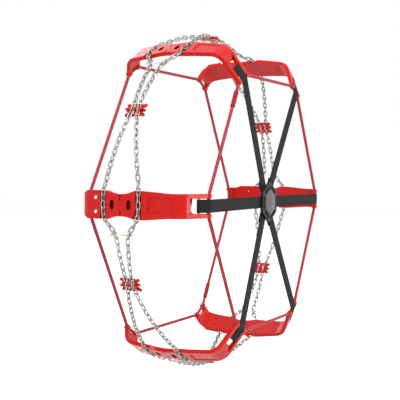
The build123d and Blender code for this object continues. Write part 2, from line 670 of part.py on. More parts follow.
ARM = snow_arm()
LINK = chain_link()
CLIP = spider_clip()
STRAP = elastic_strap()
STUD = stud()
PIN_POINT = strap_pin_point()
STRAP_CROSS_PIN = Location((PIN_POINT.X, PIN_POINT.Y, 0)) * Cylinder(
    STRAP_PIN / 2, FORK_GAP + 2 * (STRAP_PIN_SEAT - STRAP_PIN_END_PLAY))
CLIP_STEEL_PIN = round_bar((CHAIN_RADIUS, CHAIN_MIDDLE, 0), CLIP_PIN_LENGTH, CLIP_PIN / 2)
NECK_HALF = (ROUTES[CLIP_LINKS[0]] @ (NECK_LINK / LINKS_PER_SPAN)).Y
TIE_ROD = round_bar((CHAIN_RADIUS - crown_drop(CHAIN_MIDDLE + NECK_OFFSET) / 2, CHAIN_MIDDLE, 0),
                    2 * (NECK_HALF + WIRE / 2 + ROD_OVERHANG), ROD_DIAMETER / 2,
                    ROD_HEAD / 2, ROD_HEAD_LENGTH)

cross_pins, studs = [], []
for k, clip_link in enumerate(CLIP_LINKS):
    number, angle = k + 1, k * SPAN_ANGLE
    entering = chain_links(angle - SPAN_ANGLE, CLIP_LINKS[k - 1],
                           LINKS_PER_SPAN - LINKS_IN_ENTRY, LINKS_PER_SPAN - 1)
    leaving = chain_links(angle, clip_link, 0, NECK_LINK)
    save(set_round(ARM, angle), f"arm_{number}")
    save(Compound(entering + leaving), f"arm_chain_{number}")
    lead = chain_links(angle, clip_link, NECK_LINK + 1, clip_link - 1)
    save(Compound(lead), f"lead_chain_{number}")
    trail = chain_links(angle, clip_link, clip_link + 1, LINKS_PER_SPAN - LINKS_IN_ENTRY - 1)
    save(Compound(trail), f"tail_chain_{number}")

    clip_angle = angle + on_tread(clip_link, clip_link, 1)[1]
    held = chain_links(angle, clip_link, clip_link, clip_link)
    save(set_round(CLIP, clip_angle), f"spider_clip_{number}")
    save(Compound(held + [set_round(CLIP_STEEL_PIN, clip_angle)]), f"clip_pin_{number}")

    neck_angle = angle + on_tread(clip_link, NECK_LINK, 1)[1]
    save(set_round(TIE_ROD, neck_angle), f"tie_rod_{number}")

    save(set_round(STRAP, angle), f"strap_{number}")
    cross_pins.append(set_round(STRAP_CROSS_PIN, angle))
    for way in (1, -1):
        studs.append(set_round(STUD.moved(Location((0, STUD_Y, way * STUD_OFFSET))), angle))

save(Compound(cross_pins), "strap_pins")
save(Compound(studs), "arm_studs")
save(cord_ring(OUTER_CORD_RADIUS, OUTER_CORD_Y, CORD_DIAMETER), "outer_cord")
save(cord_ring(INNER_CORD_RADIUS, INNER_CORD_Y, CORD_DIAMETER), "inner_cord")
save(cord_sleeve(OUTER_CORD_RADIUS, OUTER_CORD_Y, OUTER_SLEEVE_SPAN), "outer_cord_sleeve")
save(cord_sleeve(INNER_CORD_RADIUS, INNER_CORD_Y, INNER_SLEEVE_SPAN), "inner_cord_sleeve")
save(hub_frame(), "hub_frame")
save(hub_badge(), "hub_badge")
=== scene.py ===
"""Looks of a snow chain set for a car wheel, in the shape it has when it is on the tyre.

Metres, with the wheel's axle along Y and the outside of the car towards -Y. Each arm stands at
its own angle round the axle, counted from +X towards +Z: arm_1 at 0 degrees, arm_4 at 180.
"""

import math

import bmesh
import bpy
import numpy as np
from mathutils import Matrix, Vector


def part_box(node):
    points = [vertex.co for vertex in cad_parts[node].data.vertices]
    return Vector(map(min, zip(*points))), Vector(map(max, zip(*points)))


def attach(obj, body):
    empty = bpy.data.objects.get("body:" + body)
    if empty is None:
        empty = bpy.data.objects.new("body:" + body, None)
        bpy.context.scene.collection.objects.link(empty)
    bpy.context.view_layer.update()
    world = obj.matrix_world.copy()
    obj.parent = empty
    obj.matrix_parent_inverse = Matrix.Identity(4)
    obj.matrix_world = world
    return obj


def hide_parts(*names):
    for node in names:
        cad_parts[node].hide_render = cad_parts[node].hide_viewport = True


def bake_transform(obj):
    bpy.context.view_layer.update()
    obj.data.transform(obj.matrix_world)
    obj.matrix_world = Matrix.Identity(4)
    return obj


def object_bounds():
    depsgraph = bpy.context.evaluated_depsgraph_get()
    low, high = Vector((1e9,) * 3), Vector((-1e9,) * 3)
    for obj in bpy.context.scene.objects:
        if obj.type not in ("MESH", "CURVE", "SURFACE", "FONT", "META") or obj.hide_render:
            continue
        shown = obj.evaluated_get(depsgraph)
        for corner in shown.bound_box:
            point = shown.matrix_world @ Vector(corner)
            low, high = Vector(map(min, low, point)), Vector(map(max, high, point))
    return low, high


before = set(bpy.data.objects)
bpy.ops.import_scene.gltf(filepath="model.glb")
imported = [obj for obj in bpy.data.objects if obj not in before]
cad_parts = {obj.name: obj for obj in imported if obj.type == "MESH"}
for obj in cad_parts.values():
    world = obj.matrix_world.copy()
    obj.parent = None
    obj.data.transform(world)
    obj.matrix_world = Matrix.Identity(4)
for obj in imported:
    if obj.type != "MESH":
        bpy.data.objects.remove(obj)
cad_low, cad_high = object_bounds()

# ---------------------------------------------------------------- camera
# Standing low in front of the outer shoulder, with a long lens, so that the hub is seen from
# the side and the near arm from the front.
CAMERA_AZIMUTH, CAMERA_ELEVATION = math.radians(-62.87), math.radians(1.89)
CAMERA_DISTANCE = 1.751
CAMERA_ROLL = math.radians(0.58)
CAMERA_RIGHT, CAMERA_UP = -0.0278, 0.0009

towards = Vector((math.sin(CAMERA_AZIMUTH) * math.cos(CAMERA_ELEVATION),
                  -math.cos(CAMERA_AZIMUTH) * math.cos(CAMERA_ELEVATION),
                  math.sin(CAMERA_ELEVATION)))
level = (-towards).cross(Vector((0, 0, 1))).normalized()
right = Matrix.Rotation(CAMERA_ROLL, 3, towards) @ level
up = towards.cross(right)
lens = bpy.data.cameras.new("camera")
lens.lens, lens.sensor_width = 79.59, 36.0
camera = bpy.data.objects.new("camera", lens)
bpy.context.scene.collection.objects.link(camera)
camera.matrix_world = Matrix((right, up, towards)).transposed().to_4x4()
camera.location = towards * CAMERA_DISTANCE + right * CAMERA_RIGHT + up * CAMERA_UP
bpy.context.scene.camera = camera

# ---------------------------------------------------------------- studio
# A white floor that the set stands on, a white surround, and soft lamps: one beside the camera,
# a wide low one off to the right that the fork prongs mirror, one overhead and one behind.
FLOOR_SIZE = 14.0
FLOOR_GLOW = 0.8
bpy.context.scene.view_settings.view_transform = "Standard"


def seen_directly(nodes, links):
    """1 where the camera, a gloss or a clear thing sees this surface, 0 where it only lights."""
    path = nodes.new("ShaderNodeLightPath")
    total = path.outputs["Is Camera Ray"]
    for ray in ("Is Glossy Ray", "Is Transmission Ray"):
        both = nodes.new("ShaderNodeMath")
        both.operation = "MAXIMUM"
        links.new(total, both.inputs[0])
        links.new(path.outputs[ray], both.inputs[1])
        total = both.outputs[0]
    return total


world = bpy.data.worlds.new("surround")
world.use_nodes = True
bpy.context.scene.world = world
sky_nodes, sky_links = world.node_tree.nodes, world.node_tree.links
dim, white = sky_nodes["Background"], sky_nodes.new("ShaderNodeBackground")
dim.inputs["Color"].default_value = white.inputs["Color"].default_value = (1, 1, 1, 1)
dim.inputs["Strength"].default_value, white.inputs["Strength"].default_value = 0.22, 1.0
choose = sky_nodes.new("ShaderNodeMixShader")
sky_links.new(seen_directly(sky_nodes, sky_links), choose.inputs["Fac"])
sky_links.new(dim.outputs[0], choose.inputs[1])
sky_links.new(white.outputs[0], choose.inputs[2])
sky_links.new(choose.outputs[0], sky_nodes["World Output"].inputs["Surface"])

# The floor glows a little for whoever looks at it, and its own lit paint makes up the rest of
# the white, so that only a shadow comes out darker than the surround.
floor_mesh = bpy.data.meshes.new("floor")
half, ground = FLOOR_SIZE / 2, cad_low.z - 0.0005
floor_mesh.from_pydata([(-half, -half, ground), (half, -half, ground), (half, half, ground),
                        (-half, half, ground)], [], [(0, 1, 2, 3)])
floor = bpy.data.objects.new("floor", floor_mesh)
bpy.context.scene.collection.objects.link(floor)
paint = bpy.data.materials.new("floor_white")
paint.use_nodes = True
nodes, links = paint.node_tree.nodes, paint.node_tree.links
matt = nodes["Principled BSDF"]
matt.inputs["Base Color"].default_value = (0.8, 0.8, 0.8, 1)
matt.inputs["Roughness"].default_value = 0.8
matt.inputs["Specular IOR Level"].default_value = 0.0
matt.inputs["Emission Color"].default_value = (1, 1, 1, 1)
glow = nodes.new("ShaderNodeMath")
glow.operation = "MULTIPLY"
glow.inputs[1].default_value = FLOOR_GLOW
links.new(seen_directly(nodes, links), glow.inputs[0])
links.new(glow.outputs[0], matt.inputs["Emission Strength"])
floor_mesh.materials.append(paint)


def soft_lamp(name, azimuth, elevation, distance, width, height, power):
    """A flat soft lamp that faces the set. Azimuth 0 is in front of the hub, 90 to its right."""
    across, high = math.radians(azimuth), math.radians(elevation)
    place = Vector((math.sin(across) * math.cos(high), -math.cos(across) * math.cos(high),
                    math.sin(high))) * distance
    light = bpy.data.lights.new(name, "AREA")
    light.energy, light.shape = power, "RECTANGLE"
    light.size, light.size_y = width, height
    lamp = bpy.data.objects.new(name, light)
    bpy.context.scene.collection.objects.link(lamp)
    lamp.location = place
    lamp.rotation_mode = "QUATERNION"
    lamp.rotation_quaternion = place.to_track_quat("Z", "Y")


soft_lamp("key", -80, 42, 3.0, 1.1, 1.1, 50)
soft_lamp("side", 22, 3, 2.8, 2.3, 0.8, 36)
soft_lamp("top", -30, 75, 2.8, 1.4, 1.4, 26)
soft_lamp("back", 140, 28, 3.0, 1.6, 1.6, 14)

# ---------------------------------------------------------------- arms
# Six moulded nylon arms in glossy red. Each is one injection-moulded piece that hooks over the
# tread, its edges broken by the tool, so it is the CAD shape with every edge rounded.
ARM_EDGE = 0.0005
RED = (0.70, 0.0075, 0.0055)
HOLLOW_REACH = 0.010
EDGE_REACH = 0.0012


def moulded(node, edge, merging=1e-6):
    """The CAD shape of a node, with its flat faces made whole and its edges rounded. Corners
    nearer to each other than the merging distance become one, so that no rounding folds over."""
    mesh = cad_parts[node].data.copy()
    mesh.materials.clear()
    mesh.attributes.remove(mesh.attributes["custom_normal"])
    shape = bmesh.new()
    shape.from_mesh(mesh)
    bmesh.ops.remove_doubles(shape, verts=shape.verts, dist=merging)
    bmesh.ops.dissolve_limit(shape, angle_limit=math.radians(1), verts=shape.verts,
                             edges=shape.edges)
    shape.to_mesh(mesh)
    shape.free()
    mesh.shade_smooth()
    piece = bpy.data.objects.new(f"{node}_moulded", mesh)
    bpy.context.scene.collection.objects.link(piece)
    rounding = piece.modifiers.new("rounded_edges", "BEVEL")
    rounding.width, rounding.segments = edge, 3
    rounding.limit_method, rounding.angle_limit = "ANGLE", math.radians(30)
    rounding.use_clamp_overlap = False
    piece.modifiers.new("even_shading", "WEIGHTED_NORMAL").keep_sharp = True
    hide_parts(node)
    return piece


def noise(nodes, links, scale, detail, low, high):
    """A soft random value between low and high, in grains of 1/scale of a metre."""
    place = nodes.new("ShaderNodeTexCoord")
    grains = nodes.new("ShaderNodeTexNoise")
    grains.inputs["Scale"].default_value = scale
    grains.inputs["Detail"].default_value = detail
    span = nodes.new("ShaderNodeMapRange")
    span.inputs["From Min"].default_value, span.inputs["From Max"].default_value = 0.3, 0.7
    span.inputs["To Min"].default_value, span.inputs["To Max"].default_value = low, high
    links.new(place.outputs["Object"], grains.inputs["Vector"])
    links.new(grains.outputs["Fac"], span.inputs["Value"])
    return span.outputs["Result"]


def mixed(nodes, links, share, first, second):
    """One colour turning into another as share goes from 0 to 1."""
    blend = nodes.new("ShaderNodeMix")
    blend.data_type = "RGBA"
    blend.inputs["A"].default_value = (*first, 1)
    blend.inputs["B"].default_value = (*second, 1)
    links.new(share, blend.inputs["Factor"])
    return blend.outputs["Result"]


def bumped(nodes, links, height, depth, shader):
    """Raises the shader's surface by height times depth metres."""
    bump = nodes.new("ShaderNodeBump")
    bump.inputs["Distance"].default_value = depth
    links.new(height, bump.inputs["Height"])
    links.new(bump.outputs["Normal"], shader.inputs["Normal"])


def hidden_share(nodes, links, reach, inside, low, high, most):
    """A share that grows where the piece closes in on itself within reach. Looking outward, that
    is in its hollows, and looking inside, along its outer edges. It rises from 0 to most as the
    open part of the view falls from high to low."""
    around = nodes.new("ShaderNodeAmbientOcclusion")
    around.only_local, around.inside, around.samples = True, inside, 8
    around.inputs["Distance"].default_value = reach
    span = nodes.new("ShaderNodeMapRange")
    span.inputs["From Min"].default_value, span.inputs["From Max"].default_value = low, high
    span.inputs["To Min"].default_value, span.inputs["To Max"].default_value = most, 0.0
    links.new(around.outputs["AO"], span.inputs["Value"])
    return span.outputs["Result"]


def laid_over(nodes, links, share, below, colour):
    """A colour laid over another in a varying share."""
    blend = nodes.new("ShaderNodeMix")
    blend.data_type = "RGBA"
    blend.inputs["B"].default_value = (*colour, 1)
    links.new(share, blend.inputs["Factor"])
    links.new(below, blend.inputs["A"])
    return blend.outputs["Result"]


def moulded_plastic(name, colour, worn, painted_shade, roughness):
    """Moulded plastic: streaks of slightly uneven colour, outer edges rubbed paler in patches,
    painted shade darkening the hollows, uneven gloss and a fine skin."""
    material = bpy.data.materials.new(name)
    material.use_nodes = True
    nodes, links = material.node_tree.nodes, material.node_tree.links
    shader = nodes["Principled BSDF"]
    tint = mixed(nodes, links, noise(nodes, links, 38, 3, 0.0, 0.12), colour, worn)
    rubbed = nodes.new("ShaderNodeMath")
    rubbed.operation = "MULTIPLY"
    edges = hidden_share(nodes, links, EDGE_REACH, inside=True, low=0.5, high=0.85, most=0.8)
    links.new(edges, rubbed.inputs[0])
    links.new(noise(nodes, links, 150, 3, 0.0, 1.0), rubbed.inputs[1])
    tint = laid_over(nodes, links, rubbed.outputs[0], tint, worn)
    # Painted shade: the colour darkens in the piece's hollows, where shade falls.
    painted_shade_share = hidden_share(nodes, links, HOLLOW_REACH, inside=False, low=0.4, high=0.9, most=0.9)
    tint = laid_over(nodes, links, painted_shade_share, tint, painted_shade)
    links.new(tint, shader.inputs["Base Color"])
    links.new(noise(nodes, links, 60, 3, roughness - 0.03, roughness + 0.05),
              shader.inputs["Roughness"])
    bumped(nodes, links, noise(nodes, links, 420, 1, 0, 1), 0.000004, shader)
    shader.inputs["Specular IOR Level"].default_value = 0.22
    return material


# The third colour is painted shade for the hollows of the arms and clips.
red_plastic = moulded_plastic("red_plastic", RED, (0.78, 0.075, 0.055), (0.07, 0.002, 0.002), 0.24)
for number in range(1, 7):
    arm = moulded(f"arm_{number}", ARM_EDGE)
    arm.data.materials.append(red_plastic)
    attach(arm, "root")

# ---------------------------------------------------------------- studs
# Two steel rivets with domed heads in the inner end of each arm, pressed into ringed seats so
# that they bite into ice. Each is turned, so it is a radius that changes along an axis.
STUD_HEAD, STUD_SHANK = 0.0033, 0.002
SHANK_SHARE, DOME_SHARE = 0.75, 0.22
DOME_TIP = 0.06


def outline_mesh(name, grids):
    """A mesh of closed tubes. Each grid of points has its rows along the tube and its columns
    round the section, anticlockwise as seen from the tube's far end, and flat ends close it
    unless it is marked as a ring. The map runs along the tube in metres and once round it."""
    corners, faces, maps = [], [], []
    count = 0
    for grid, ring in grids:
        rows, columns = grid.shape[:2]
        number = np.arange(rows * columns).reshape(rows, columns) + count
        path = grid.mean(axis=1)
        steps = np.linalg.norm(np.diff(path, axis=0, append=path[:1]), axis=1)
        along = np.concatenate([[0], np.cumsum(steps)])[:rows + ring]
        if ring:
            number = np.vstack([number, number[:1]])
        around = np.linspace(0, 1, columns + 1)
        number = np.hstack([number, number[:, :1]])
        along, around = np.meshgrid(along, around, indexing="ij")
        place = np.stack([along, around], axis=-1)

        def quads(table):
            return np.stack([table[:-1, :-1], table[:-1, 1:], table[1:, 1:], table[1:, :-1]],
                            axis=2).reshape(-1, 4, *table.shape[2:])

        faces += quads(number).tolist()
        maps.append(quads(place).reshape(-1, 2))
        if not ring:
            faces += [number[0, :-1][::-1].tolist(), number[-1, :-1].tolist()]
            maps += [place[0, :-1][::-1], place[-1, :-1]]
        corners.append(grid.reshape(-1, 3))
        count += rows * columns
    mesh = bpy.data.meshes.new(name)
    mesh.from_pydata(np.concatenate(corners), [], faces)
    mesh.uv_layers.new(name="run").data.foreach_set("uv", np.concatenate(maps).ravel())
    mesh.shade_smooth()
    return mesh


def piece_of(name, grids, material, body, slot, *nodes):
    """An object made of those tubes, which stands for the CAD nodes and rides on a body."""
    piece = bpy.data.objects.new(name, outline_mesh(name, grids))
    bpy.context.scene.collection.objects.link(piece)
    piece.data.materials.append(material)
    if body:
        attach(piece, body)
    if nodes:
        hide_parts(*nodes)
    return piece


def unit(vectors):
    """The vectors, each made 1 long."""
    return vectors / np.linalg.norm(vectors, axis=-1, keepdims=True)


def turned(start, end, profile, sides):
    """A turned piece from start to end: at each (share of the length, radius) of the profile, a
    circle round the axis. The circles start off in a direction that no axis here lies along."""
    start, end = np.array(start, float), np.array(end, float)
    along = unit(end - start)
    askew = (0.31, 0.52, 0.79)
    across = unit(np.cross(along, askew))
    angle = np.linspace(0, 2 * math.pi, sides, endpoint=False)
    circle = np.outer(np.cos(angle), across) + np.outer(np.sin(angle), np.cross(along, across))
    share, radius = np.array(profile).T
    return start + share[:, None, None] * (end - start) + radius[:, None, None] * circle, False


def solids_of(node):
    """The separate solids in a CAD node, each as an array of its corners. Corners at one place
    share a number, and each triangle hands its lowest number round until nothing changes."""
    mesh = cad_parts[node].data
    corners = np.empty(3 * len(mesh.vertices))
    mesh.vertices.foreach_get("co", corners)
    corners = corners.reshape(-1, 3)
    mesh.calc_loop_triangles()
    triangles = np.empty(3 * len(mesh.loop_triangles), int)
    mesh.loop_triangles.foreach_get("vertices", triangles)
    places, place = np.unique(np.round(corners, 6), axis=0, return_inverse=True)
    triangles = place.reshape(-1)[triangles].reshape(-1, 3)
    owner = np.arange(len(places))
    while True:
        lowest = owner.copy()
        np.minimum.at(lowest, triangles, owner[triangles].min(axis=1)[:, None])
        lowest = lowest[lowest]
        if np.array_equal(lowest, owner):
            break
        owner = lowest
    return [places[owner == one] for one in np.unique(owner)]


def main_axes(points):
    """A solid's middle and its long, middle and short directions, pointed the same way for like
    solids: the long one round the wheel, the short one out from the axle or else to +Y."""
    low_high = np.array([points.min(axis=0), points.max(axis=0)])
    spread = points - points.mean(axis=0)
    _, axes = np.linalg.eigh(spread.T @ spread)
    long, short = axes[:, 2], axes[:, 0]
    outward = unit(low_high.mean(axis=0) * (1, 0, 1))
    long = long * np.copysign(1, np.dot(long, np.cross(outward, (0, 1, 0)) + 0.01 * outward))
    short = short * np.copysign(1, np.dot(short, outward + (0, 0.3, 0)))
    ends = np.array([points @ axis for axis in (long, np.cross(short, long), short)])
    middle = (ends.min(axis=1) + ends.max(axis=1)) / 2
    frame_axes = np.array([long, np.cross(short, long), short])
    return middle @ frame_axes, frame_axes


def steel(name, colour, dark, roughness):
    """Zinc-plated steel: a mottled bright skin with dull, darker patches and fine scratches."""
    material = bpy.data.materials.new(name)
    material.use_nodes = True
    nodes, links = material.node_tree.nodes, material.node_tree.links
    shader = nodes["Principled BSDF"]
    shader.inputs["Metallic"].default_value = 1.0
    patches = noise(nodes, links, 260, 4, 0.0, 1.0)
    links.new(mixed(nodes, links, patches, dark, colour), shader.inputs["Base Color"])
    links.new(noise(nodes, links, 900, 3, roughness - 0.08, roughness + 0.12),
              shader.inputs["Roughness"])
    bumped(nodes, links, noise(nodes, links, 1700, 3, 0, 1), 0.00003, shader)
    return material


stud_steel = steel("stud_steel", (0.72, 0.70, 0.67), (0.55, 0.53, 0.5), 0.24)
bow = np.linspace(0, math.pi / 2, 7)
head_profile = [(0.0, STUD_SHANK), (SHANK_SHARE, STUD_SHANK), (SHANK_SHARE + 0.002, STUD_HEAD),
                (1 - DOME_SHARE, STUD_HEAD)]
head_profile += [(1 - DOME_SHARE + DOME_SHARE * math.sin(turn),
                  STUD_HEAD * max(math.cos(turn), DOME_TIP)) for turn in bow[1:]]
studs = []
for points in solids_of("arm_studs"):
    outward = unit(points.mean(axis=0) * (1, 0, 1))
    reach = points @ outward
    middle = points.mean(axis=0)
    middle = middle - outward * np.dot(middle, outward)
    studs.append(turned(middle + outward * reach.min(), middle + outward * reach.max(),
                        head_profile, 24))
piece_of("stud_rivets", studs, stud_steel, "root", "stud_steel", "arm_studs")

# ---------------------------------------------------------------- chain
# Short-link chain of 2.6 mm wire, zinc plated. Each link is bent round and butt welded in the
# middle of one side, where a bead stands a little proud, and every other link stands on edge.
WIRE = 0.0026
BEAD = 1.22
WELD_HALF = 0.45
BEND_STEPS, WIRE_SIDES = 6, 8


def link_grid(length, width):
    """A link round the origin in the XY plane: a wire carried along two straight sides and two
    half circles. The radius swells at the weld, in the middle of the side at -Y."""
    bend = (width - WIRE) / 2
    straight = (length - WIRE) / 2 - bend
    turn = np.linspace(0, math.pi, BEND_STEPS + 1)
    right_end = np.stack([straight + bend * np.sin(turn), bend * np.cos(turn)], axis=1)
    left_end = -right_end
    weld = np.stack([np.array([WELD_HALF, 0, -WELD_HALF]) * WIRE, np.full(3, -bend)], axis=1)
    path = np.concatenate([right_end, weld, left_end, [[0, bend]]])
    along = unit(np.roll(path, -1, axis=0) - np.roll(path, 1, axis=0))
    across = np.stack([-along[:, 1], along[:, 0]], axis=1)
    radius = np.full(len(path), WIRE / 2)
    radius[len(right_end) + 1] *= BEAD
    angle = np.linspace(0, 2 * math.pi, WIRE_SIDES, endpoint=False)
    side = radius[:, None] * np.cos(angle)
    flat = path[:, None] + side[:, :, None] * across[:, None]
    return np.concatenate([flat, (radius[:, None] * np.sin(angle))[:, :, None]], axis=2)


def links_in(node):
    """A wire link in the place of each link of a CAD node, and the corners of what isn't one."""
    grids, others = [], []
    for points in solids_of(node):
        middle, axes = main_axes(points)
        length, width, _ = np.ptp(points @ axes.T, axis=0)
        if width > 3 * WIRE:
            grids.append((link_grid(length, width) @ axes + middle, True))
        else:
            others.append(points)
    return grids, others


chain_steel = steel("chain_steel", (0.52, 0.50, 0.465), (0.17, 0.16, 0.15), 0.28)
for number in range(1, 7):
    clip_middle = sum(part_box(f"spider_clip_{number}"), Vector()) / 2
    for part, other_body in (("arm_chain", None), ("lead_chain", f"clip_{number}"),
                             ("tail_chain", f"clip_{number}")):
        node = f"{part}_{number}"
        grids, _ = links_in(node)
        links_piece = piece_of(f"{part}_links_{number}", grids, chain_steel,
                               None if other_body else "root", "chain_steel", node)
        if other_body:
            middles = np.array([grid.mean(axis=(0, 1)) for grid, _ in grids])
            reach = np.linalg.norm(middles - np.array(clip_middle), axis=1)
            far, near = Vector(middles[reach.argmax()]), Vector(middles[reach.argmin()])
            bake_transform(links_piece)

# ---------------------------------------------------------------- spider clips
# A red moulded cross under both chain lines between two arms. A steel pin pushed through its
# bosses and one link of each line holds them together.
CLIP_EDGE = 0.0004
PIN_CHAMFER = 0.0004


def pin_between(points, sides, chamfer):
    """A plain pin with bevelled ends in the place of a CAD solid."""
    middle, axes = main_axes(points)
    length, thick, _ = np.ptp(points @ axes.T, axis=0)
    share, radius = chamfer / length, thick / 2
    profile = [(0, radius - chamfer), (share, radius), (0.5, radius), (1 - share, radius),
               (1, radius - chamfer)]
    half_axis = axes[0] * length / 2
    return turned(middle - half_axis, middle + half_axis, profile, sides)


pin_steel = steel("pin_steel", (0.66, 0.64, 0.60), (0.45, 0.43, 0.40), 0.3)
for number in range(1, 7):
    clip = moulded(f"spider_clip_{number}", CLIP_EDGE)
    clip.data.materials.append(red_plastic)
    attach(clip, f"clip_{number}")
    held_links, pins = links_in(f"clip_pin_{number}")
    held_links += [pin_between(points, 16, PIN_CHAMFER) for points in pins]
    piece_of(f"clip_steel_{number}", held_links, chain_steel, f"clip_{number}", "chain_steel",
             f"clip_pin_{number}")

# ---------------------------------------------------------------- tie rods
# A thin steel wire through one link of each line, just past an arm, that draws the two lines
# together. Its ends are upset into small round heads.
ROD_HEAD_LENGTH = 0.0014
ROD_RADIUS = 0.00095
for number in range(1, 7):
    (points,) = solids_of(f"tie_rod_{number}")
    middle, axes = main_axes(points)
    length, head, _ = np.ptp(points @ axes.T, axis=0)
    share, head = ROD_HEAD_LENGTH / length, head / 2
    end_profile = [(0.0, 0.55 * head), (0.25, 0.9 * head), (0.55, head), (0.85, 0.95 * head),
                   (1.0, ROD_RADIUS)]
    profile = [(share * part, size) for part, size in end_profile]
    profile += [(1 - part, size) for part, size in profile[::-1]]
    half_axis = axes[0] * length / 2
    piece_of(f"tie_wire_{number}", [turned(middle - half_axis, middle + half_axis, profile, 14)],
             pin_steel, f"rod_{number}", "rod_steel", f"tie_rod_{number}")

# ---------------------------------------------------------------- elastic cords
# A ring of braided elastic cord on each side of the tyre, threaded through the two eyes of
# every arm and pulled tight, so it is straight runs that turn round at the eyes.
CORD_RADIUS = 0.003
EYE_OFFSET = 0.0164
CORD_BEND = 0.014
STRANDS = 8
BRAID_PITCH = 0.016
CORD_SPACING = 0.006


def tight_route(corners, bends, spacing, ring):
    """Points along a taut line through the corners, in a plane: straight runs, and at each
    corner an arc that touches both of its runs."""
    corners = np.array(corners, float)
    bends = np.broadcast_to(bends, len(corners))
    stops = []
    for index, corner in enumerate(corners):
        if not ring and index in (0, len(corners) - 1):
            stops.append(corner[None])
            continue
        before = unit(corner - corners[index - 1])
        after = unit(corners[(index + 1) % len(corners)] - corner)
        turn = math.acos(np.clip(before @ after, -1, 1))
        inward = unit(after - before * (before @ after))
        start = corner - before * bends[index] * math.tan(turn / 2)
        angle = np.linspace(0, turn, max(3, math.ceil(turn / math.radians(12)) + 1))[:, None]
        stops.append(start + bends[index] * (np.sin(angle) * before + (1 - np.cos(angle)) * inward))
    points = []
    for index, arc in enumerate(stops):
        points.append(arc)
        if ring or index < len(stops) - 1:
            end, following = arc[-1], stops[(index + 1) % len(stops)][0]
            count = max(1, round(float(np.linalg.norm(following - end)) / spacing))
            share = np.linspace(0, 1, count + 1)[1:-1, None]
            points.append(end + share * (following - end))
    return np.concatenate(points)


def tube_along(path, normal, radius, sides, ring):
    """A round tube along a path that lies in the plane with this normal."""
    if ring:
        along = unit(np.roll(path, -1, axis=0) - np.roll(path, 1, axis=0))
    else:
        along = unit(np.gradient(path, axis=0))
    across = np.broadcast_to(np.array(normal, float), path.shape)
    upward = np.cross(along, across)
    angle = np.linspace(0, 2 * math.pi, sides, endpoint=False)[None, :, None]
    radius = np.broadcast_to(radius, (len(path), sides))[:, :, None]
    return path[:, None] + radius * (np.cos(angle) * across[:, None]
                                     + np.sin(angle) * upward[:, None]), ring


def braided_elastic(name, colour, dark, painted_highlight):
    """Braided cord: strands crossing at a slant, as two sets of slanting ridges over the map,
    with painted shade in the gaps and a painted highlight on the crowns of the strands."""
    material = bpy.data.materials.new(name)
    material.use_nodes = True
    nodes, links = material.node_tree.nodes, material.node_tree.links
    shader = nodes["Principled BSDF"]
    shader.inputs["Roughness"].default_value = 0.62
    shader.inputs["Sheen Weight"].default_value = 0.12
    shader.inputs["Sheen Roughness"].default_value = 0.4
    shader.inputs["Specular IOR Level"].default_value = 0.2
    run = nodes.new("ShaderNodeUVMap")
    run.uv_map = "run"
    split = nodes.new("ShaderNodeSeparateXYZ")
    links.new(run.outputs["UV"], split.inputs[0])
    ridges = []
    for lean in (1, -1):
        around = nodes.new("ShaderNodeMath")
        around.operation = "MULTIPLY"
        around.inputs[1].default_value = STRANDS * math.pi
        links.new(split.outputs["Y"], around.inputs[0])
        phase = nodes.new("ShaderNodeMath")
        phase.operation = "MULTIPLY_ADD"
        phase.inputs[1].default_value = lean * STRANDS * math.pi / BRAID_PITCH
        links.new(split.outputs["X"], phase.inputs[0])
        links.new(around.outputs[0], phase.inputs[2])
        wave = nodes.new("ShaderNodeMath")
        wave.operation = "SINE"
        links.new(phase.outputs[0], wave.inputs[0])
        ridge = nodes.new("ShaderNodeMath")
        ridge.operation = "ABSOLUTE"
        links.new(wave.outputs[0], ridge.inputs[0])
        ridges.append(ridge.outputs[0])
    braid = nodes.new("ShaderNodeMath")
    braid.operation = "MULTIPLY"
    links.new(ridges[0], braid.inputs[0])
    links.new(ridges[1], braid.inputs[1])
    # Painted shade and highlight: the gaps between strands take the dark colour and their crowns
    # the paler one.
    tones = nodes.new("ShaderNodeValToRGB")
    tones.color_ramp.elements[0].color = (*dark, 1)
    tones.color_ramp.elements[1].color = (*painted_highlight, 1)
    tones.color_ramp.elements.new(0.35).color = (*colour, 1)
    links.new(braid.outputs[0], tones.inputs["Fac"])
    links.new(tones.outputs["Color"], shader.inputs["Base Color"])
    bumped(nodes, links, braid.outputs[0], 0.0003, shader)
    return material


# The dark colour is painted shade for the braid's gaps, and the last colour a painted highlight for
# its crowns.
red_elastic = braided_elastic("red_elastic", (0.56, 0.045, 0.062), (0.22, 0.010, 0.015),
                              (0.68, 0.115, 0.135))
cord_middles = {}
for node in ("outer_cord", "inner_cord"):
    low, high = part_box(node)
    cord_middles[node] = (high.x - CORD_RADIUS, (low.y + high.y) / 2)
    eye_reach, cord_y = cord_middles[node]
    eyes = []
    for number in range(6):
        turn = number * math.pi / 3
        for side in (-1, 1):
            eyes.append((eye_reach * math.cos(turn) - side * EYE_OFFSET * math.sin(turn),
                         eye_reach * math.sin(turn) + side * EYE_OFFSET * math.cos(turn)))
    flat = tight_route(eyes, CORD_BEND, CORD_SPACING, True)
    path = np.stack([flat[:, 0], np.full(len(flat), cord_y), flat[:, 1]], axis=1)
    piece_of(f"{node}_braid", [tube_along(path, (0, 1, 0), CORD_RADIUS, 20, True)], red_elastic,
             "root", "cord_red", node)

# ---------------------------------------------------------------- cord sleeves
# A short red sleeve over the joint in each cord, crimped on with three pairs of flat presses.
SLEEVE_EDGE = 0.0005
CRIMP_DEPTH, CRIMP_HALF = 0.0007, 0.09
CRIMP_PLACES = (-0.29, 0.0, 0.29)
SLEEVE_ROWS, SLEEVE_SIDES = 61, 32
SLEEVE_WALL = 0.0014
# The third colour is painted shade for the sleeves' hollows.
sleeve_red = moulded_plastic("sleeve_red", (0.40, 0.008, 0.010), (0.52, 0.05, 0.045),
                             (0.10, 0.003, 0.003), 0.42)


